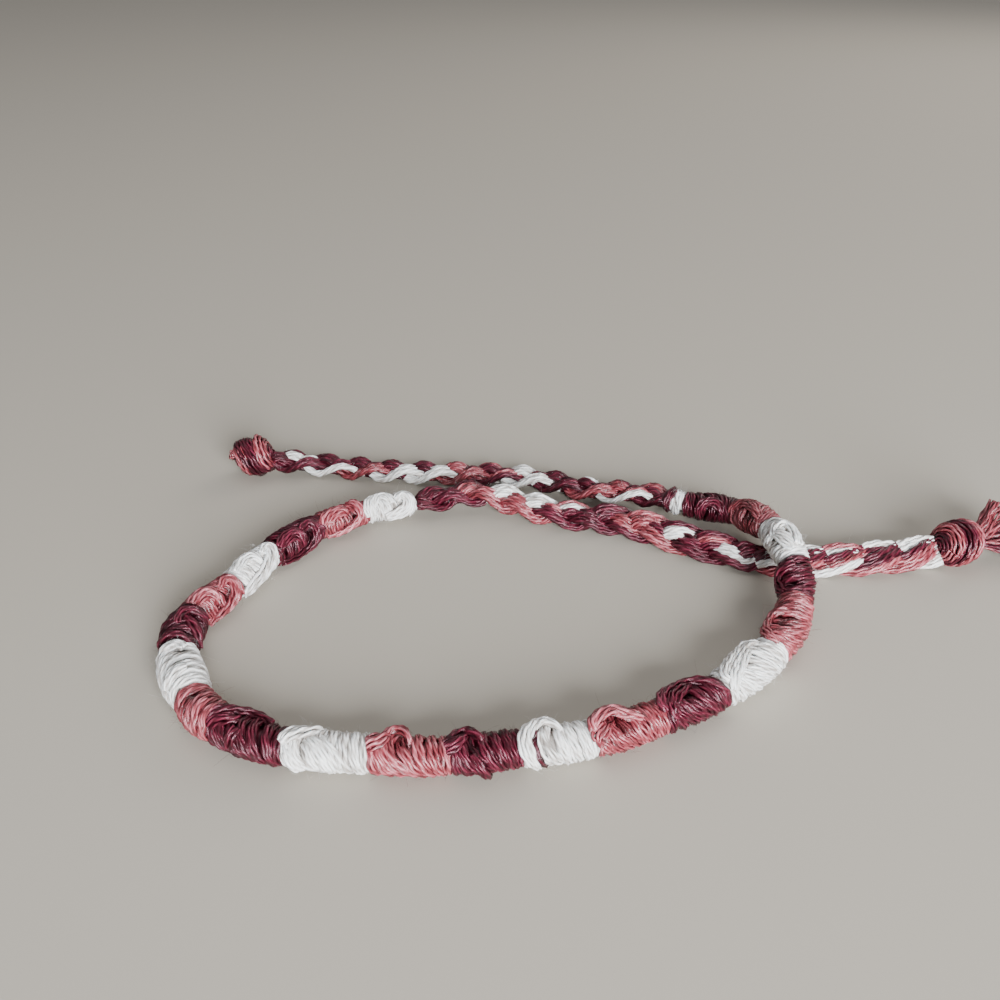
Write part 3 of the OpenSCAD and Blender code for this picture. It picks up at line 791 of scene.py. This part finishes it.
# Colours of the three threads at each place where a strand comes on top, from a tie's start:
# w for white, c for coral and b for burgundy
RIGHT_STROKES = (
    "bbb bbb bbb bbb bcc ccc www ccc www cbb cwb bbb bbb ccb ccc bcc bww bbb bcb wwb bbb bww "
    "bbb bbw bcb bbc www bcw cww bbc wbb bcc www www").split()
LEFT_STROKES = (
    "bbb bbb bcc wcb ccb ccb bbw bbb bbb wwb www bcb bbc ccb ccc www bbb www bbb ccb bbb wbb "
    "bbb bbw wwb bbb bbb").split()


def tie_places(route, step):
    """Even places along a tie's route and the braid's two axes there: across its flat side
    and square to it, rolled about the route by the angle in its fourth column."""
    fine = np.linspace(0, len(route) - 1, TIE_FINE * len(route))
    run = travelled(spline(route, fine)[0][:, :3])
    even = np.linspace(0, run[-1], int(run[-1] / step) + 1)
    t = np.interp(even, run, fine)
    places, ways = spline(route, t)
    way = unit(ways[:, :3])
    side, up = across_and_up(way)
    roll = np.radians(places[:, 3:])
    across = np.cos(roll) * side - np.sin(roll) * up
    over = np.sin(roll) * side + np.cos(roll) * up
    return even, places[:, :3], across, over


def strand_phases(run, period, start_phase, turned_over, near):
    """Phases of the braid's three strands, a third of a turn apart, and at each place the
    number of the stroke that the strand is in: strokes lie a sixth of the period apart and
    change where a strand is lowest, on the near side later, where the others cover it. Two
    strokes are left out where the braiding turns over. Near is 1 where the braid's side
    points to the front and -1 where it points to the back."""
    strands = np.arange(3)[:, None] / 3
    phase = TURN * (run / period + strands) + start_phase
    top = np.where(turned_over, ON_TOP_TURNED, ON_TOP) * TURN
    late = np.where(turned_over, -COLOUR_LATE, COLOUR_LATE) * TURN * (1 + near * np.sin(phase))
    half_turns = np.round((phase - late - top) / np.pi)
    place = (top + half_turns * np.pi - start_phase) / TURN - strands
    number = np.floor(STROKES * place + 0.001).astype(int) + 2 * turned_over
    return phase, number - number.min()


def make_tie(name, route, width, turns, strokes, floss, seed):
    """A flat braid of three strands of three threads: a strand's place swings across the
    braid as the sine of its phase and over it as the sine of twice the phase. Where the
    braiding turns over, that sine changes its sign and the cosine of the phase is taken off
    it, which keeps the strands longer on top on their way to the left."""
    rng = np.random.default_rng(seed)
    period, start_phase, turn_at = turns
    run, centre, side, up = tie_places(route, BRAID_STEP)
    weave = Weave()
    thread_w, thread_h = THREAD_W_SHARE * width, THREAD_H_SHARE * width
    over = (TIE_T - thread_h) / 2
    turned = (1 + np.tanh((run - turn_at) / TURN_OVER_L)) / 2
    lay = TURNED_LAY * turned
    phases, numbers = strand_phases(run, period, start_phase, run > turn_at, -np.sign(side[:, 1]))
    colours = np.array([["wcb".index(letter) for letter in stroke] for stroke in strokes])
    for phase, number in zip(phases, np.minimum(numbers, len(strokes) - 1)):
        height = over * ((1 - lay) * (1 - 2 * turned) * np.sin(2 * phase) - lay * np.cos(phase))
        strand = centre + (SWING_SHARE * width * np.sin(phase))[:, None] * side + height[:, None] * up
        apart, _ = square_to(strand, up)
        for thread in range(3):
            offset = APART_SHARE * width * (thread - 1) * apart - BELOW_SHARE * width * (thread != 1) * up
            add_thread(weave, rng, strand + offset, up, colours[number[:-1], thread][None],
                       width=thread_w, height=thread_h, twist=BRAID_TWIST_L, plies=BRAID_PLIES,
                       ply_r=BRAID_PLY_R)
    pick = rng.integers(2, len(run) - 2, TIE_HAIRS)
    round_turn = rng.uniform(0, TURN, TIE_HAIRS)[:, None]
    sideways, upwards = np.cos(round_turn) * side[pick], np.sin(round_turn) * up[pick]
    place = centre[pick] + TIE_HAIR_ASIDE * width * sideways + TIE_HAIR_ABOVE * TIE_T * upwards
    add_hairs(weave, rng, place, sideways + upwards, 0, TIE_HAIR_SHARE * width)
    piece = weave.piece(name + "_plies", [floss[c] for c in FLOSS], "tie_braid")
    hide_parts(name)
    return piece, centre, run[-1]


# The knots and tufts

# Share of a knot's thickness at its ends, how deep its core lies and the core's rings
KNOT_END = 0.62
KNOT_CORE_SINK = 0.65
KNOT_CORE_RINGS = 9
# Bands of each knot from its start to its end: place, lean, share of the knot's half width,
# width and colour
RIGHT_KNOT = [
    [0.03, 6, 0.50, 1.7, "burgundy"], [0.14, 16, 0.94, 1.8, "coral"], [0.36, 30, 1.00, 2.0, "burgundy"],
    [0.57, 34, 1.05, 1.9, "coral"], [0.76, 26, 0.98, 1.8, "burgundy"], [0.88, 10, 0.96, 1.6, "coral"],
    [0.97, 6, 0.50, 1.7, "burgundy"]]
LEFT_KNOT = [
    [0.03, 6, 0.50, 1.7, "burgundy"], [0.16, 20, 1.04, 2.1, "coral"], [0.42, 34, 0.98, 1.7, "burgundy"],
    [0.64, 30, 1.02, 2.0, "burgundy"], [0.85, 16, 0.94, 1.9, "coral"], [0.97, 6, 0.50, 1.7, "burgundy"]]
# A band's plies, height, twist and places round it
KNOT_PLIES = 8
KNOT_BAND_H = 1.2
KNOT_TWIST_L = 40.0
KNOT_STEPS = 48
# Share of its lean that a band takes, by how many radians its wave is ahead round the knot,
# and how near the knot's ends it may come
KNOT_LEAN = 0.8
KNOT_LEAN_AHEAD = 0.4
KNOT_REACH = (0.04, 0.96)
# Tufts: how deep in the knot the cut ends begin, rings along a ply, and its radius
TUFT_DEPTH = 1.0
LOCK_STEPS = 14
LOCK_PLY_R = 0.95 * PLY_R
# Half width of a lock as a share of its full one, what part of it a lock has where it leaves
# the knot and how much more at its end, in what part of its length it turns to its direction,
# and how far its plies wave
LOCK_HALF = 0.42
LOCK_AT_KNOT = 0.75
LOCK_OPENS = 0.35
LOCK_TURNS = 0.2
LOCK_WAVE_SIDE = 0.12
LOCK_WAVE_UP = 0.1
# Materials of the cut ends, by their places in FLOSS: coral in the first lock, then burgundy
# a third of the time, and how much their tones differ
FIRST_LOCK = 1
OTHER_LOCKS = [1, 1, 2]
LOCK_SHADE = 0.12


def knot_axis(route):
    """Start, direction and sides of the knot at the end of a route."""
    end, way = spline(route, np.array([len(route) - 1.0]))
    way = unit(way[0, :3] * [1, 1, 0])
    start = end[0, :3] + KNOT_GAP * way
    start[2] = KNOT_R + KNOT_LIFT
    side, up = across_and_up(way)
    return start, way, side, up


def make_knot(name, route, bands, floss, seed):
    """The end knot: bands of plies wound round a barrel, each a leaning ring that stands off
    the middle by its share of the barrel's half width there. A band faces straight out at the
    middle and turns to the knot's ends as the cosine of its place to the fourth power."""
    rng = np.random.default_rng(seed)
    start, way, side, up = knot_axis(route)
    weave = Weave()
    turn = np.linspace(0, TURN, KNOT_STEPS + 1)

    def barrel(u):
        """Half width at a share of the knot's length: the square root of a half sine wave,
        raised so that the ends keep their share of the thickness."""
        return KNOT_R * (KNOT_END + (1 - KNOT_END) * np.sqrt(np.sin(np.pi * np.clip(u, 0.001, 0.999))))

    for place, lean, share, band_w, colour in bands:
        leaning = np.tan(np.radians(lean)) * np.sin(turn + KNOT_LEAN_AHEAD)
        u = place + KNOT_R * leaning / KNOT_L * KNOT_LEAN
        radius = share * (barrel(u) - THREAD_H / 2)
        out = np.cos(turn)[:, None] * side + np.sin(turn)[:, None] * up
        path = start + (KNOT_L * np.clip(u, *KNOT_REACH))[:, None] * way + radius[:, None] * out
        towards_end = np.sign(place - 0.5) * np.cos(np.pi * place) ** 4
        facing = unit(np.sqrt(1 - towards_end ** 2) * out + towards_end * way)
        add_thread(weave, rng, path, facing, FLOSS.index(colour), width=band_w, height=KNOT_BAND_H,
                   plies=KNOT_PLIES, twist=KNOT_TWIST_L)
    u = np.linspace(0, 1, KNOT_CORE_RINGS)
    ring = np.cos(turn[:-1:4])[:, None] * side + np.sin(turn[:-1:4])[:, None] * up
    core_r = barrel(u) - KNOT_CORE_SINK
    core = start + KNOT_L * u[:, None, None] * way + core_r[:, None, None] * ring[None]
    # The knot's core is painted dark as shade, sunk below its bands
    weave.grid(core[None, :, ::-1], CORE_PAINTED_SHADE, FLOSS.index("burgundy"))
    piece = weave.piece(name + "_wraps", [floss[c] for c in FLOSS], "tie_knot")
    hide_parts(name)
    return piece


def make_tuft(name, route, locks, lock_plies, floss, seed):
    """The cut ends: each ply leaves the knot in its lock's direction, spreads from the
    lock's middle as it goes and waves a little."""
    rng = np.random.default_rng(seed)
    start, way = knot_axis(route)[:2]
    head = start + (KNOT_L + KNOT_GAP - TUFT_DEPTH) * way
    yaw = np.degrees(np.arctan2(way[1], way[0]))
    n = lock_plies
    s = np.linspace(0, 1, LOCK_STEPS)[None]
    ease = np.minimum(1, s / LOCK_TURNS)[..., None]
    weave = Weave()
    for number, (turn, rise, length, share) in enumerate(locks):
        bearing, slope = np.radians(yaw + turn), np.radians(rise)
        level = np.cos(slope)
        forward = np.array([np.cos(bearing) * level, np.sin(bearing) * level, np.sin(slope)])
        right, over = across_and_up(forward)
        place = TURN * rng.random((n, 1))
        off = np.sqrt(rng.random((n, 1))) * LOCK_W * share * LOCK_HALF
        reach = (length + TUFT_DEPTH) * rng.uniform(0.9, 1.0, (n, 1))
        run = reach.mean() * s[0]
        spread = off * (LOCK_AT_KNOT + LOCK_OPENS * s)
        aside = spread * np.cos(place) + wobble(rng, n, run, LOCK_WAVE_SIDE)
        above = spread * np.sin(place) + wobble(rng, n, run, LOCK_WAVE_UP)
        steps = (way * (1 - ease) + forward * ease) * (reach / (LOCK_STEPS - 1))[..., None]
        paths = head + np.cumsum(steps, axis=1) + aside[..., None] * right + above[..., None] * over
        paths[..., 2] = np.maximum(paths[..., 2], PLY_R + 2 * FLOOR_GAP)
        tone = 0.5 + rng.normal(0, LOCK_SHADE, (n, 1))
        slots = rng.choice(OTHER_LOCKS, n) if number else np.full(n, FIRST_LOCK)
        weave.tubes(paths, np.broadcast_to(over, paths.shape), LOCK_PLY_R, tone, slots,
                    start=rng.random((n, 1)) * TURN)
    piece = weave.piece(name + "_plies", [floss[c] for c in FLOSS], "tie_tuft")
    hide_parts(name)
    return piece


# Each tie's tables, its plain width, as in the frame, its braid's width, the cut plies in one
# of its locks and the seed of its random draws
TIES = {
    "right": dict(route=RIGHT_TIE, width=4.2, braid_w=4.2, turns=RIGHT_BRAID, strokes=RIGHT_STROKES,
                  bands=RIGHT_KNOT, locks=RIGHT_LOCKS, lock_plies=15, seed=31),
    "left": dict(route=LEFT_TIE, width=3.2, braid_w=3.7, turns=LEFT_BRAID, strokes=LEFT_STROKES,
                 bands=LEFT_KNOT, locks=LEFT_LOCKS, lock_plies=9, seed=41),
}


def make_tie_with_ends(name, floss, route, width, braid_w, turns, strokes, bands, locks, lock_plies, seed):
    """A tie with its knot and tuft, from the band's end."""
    braid, centre, length = make_tie(name + "_braid", route, braid_w, turns, strokes, floss, seed)
    knot = make_knot(name + "_knot", route, bands, floss, seed + 1)
    tuft = make_tuft(name + "_tuft", route, locks, lock_plies, floss, seed + 2)


# Floor and light

# Half width of the floor in metres
FLOOR_HALF = 3.0


def make_floor():
    """The plain pale surface that the bracelet lies on."""
    corners = [(x * FLOOR_HALF, y * FLOOR_HALF, 0) for x, y in ((-1, -1), (1, -1), (1, 1), (-1, 1))]
    mesh = bpy.data.meshes.new("floor")
    mesh.from_pydata(corners, [], [(0, 1, 2, 3)])
    material = bpy.data.materials.new("pale_floor")
    material.use_nodes = True
    shader = material.node_tree.nodes["Principled BSDF"]
    shader.inputs["Base Color"].default_value = (0.43, 0.39, 0.33, 1)
    shader.inputs["Roughness"].default_value = 0.8
    mesh.materials.append(material)
    floor = bpy.data.objects.new("floor", mesh)
    bpy.context.collection.objects.link(floor)


def add_light(name, place, size, power, colour):
    """A square soft light at a place, turned to face the bracelet. Its place and size are in
    metres and its power is in watts."""
    data = bpy.data.lights.new(name, "AREA")
    data.size = size
    data.energy = power
    data.color = colour
    light = bpy.data.objects.new(name, data)
    light.location = place
    light.rotation_euler = (-light.location).to_track_quat("-Z", "Y").to_euler()
    bpy.context.collection.objects.link(light)


def set_light():
    """Cool light from the front right and from above, a little warm light from behind on the
    right, and a dim sky."""
    add_light("window_light", (0.36, 0.42, 0.34), 0.30, 1.2, (1.0, 0.96, 0.90))
    add_light("front_light", (0.17, -0.50, 0.15), 0.28, 11.5, (0.94, 0.97, 1.0))
    add_light("ceiling_light", (0.0, 0.4, 2.4), 3.0, 24.0, (0.98, 0.98, 1.0))
    world = bpy.data.worlds.new("studio")
    world.use_nodes = True
    world.node_tree.nodes["Background"].inputs["Color"].default_value = (0.80, 0.83, 0.87, 1)
    world.node_tree.nodes["Background"].inputs["Strength"].default_value = 0.20
    bpy.context.scene.world = world


set_camera()
floss = floss_materials()
for tie, settings in TIES.items():
    make_tie_with_ends(tie + "_tie", floss, **settings)
for section in range(len(BAND) - 1):
    make_section(section, floss)
make_floor()
set_light()
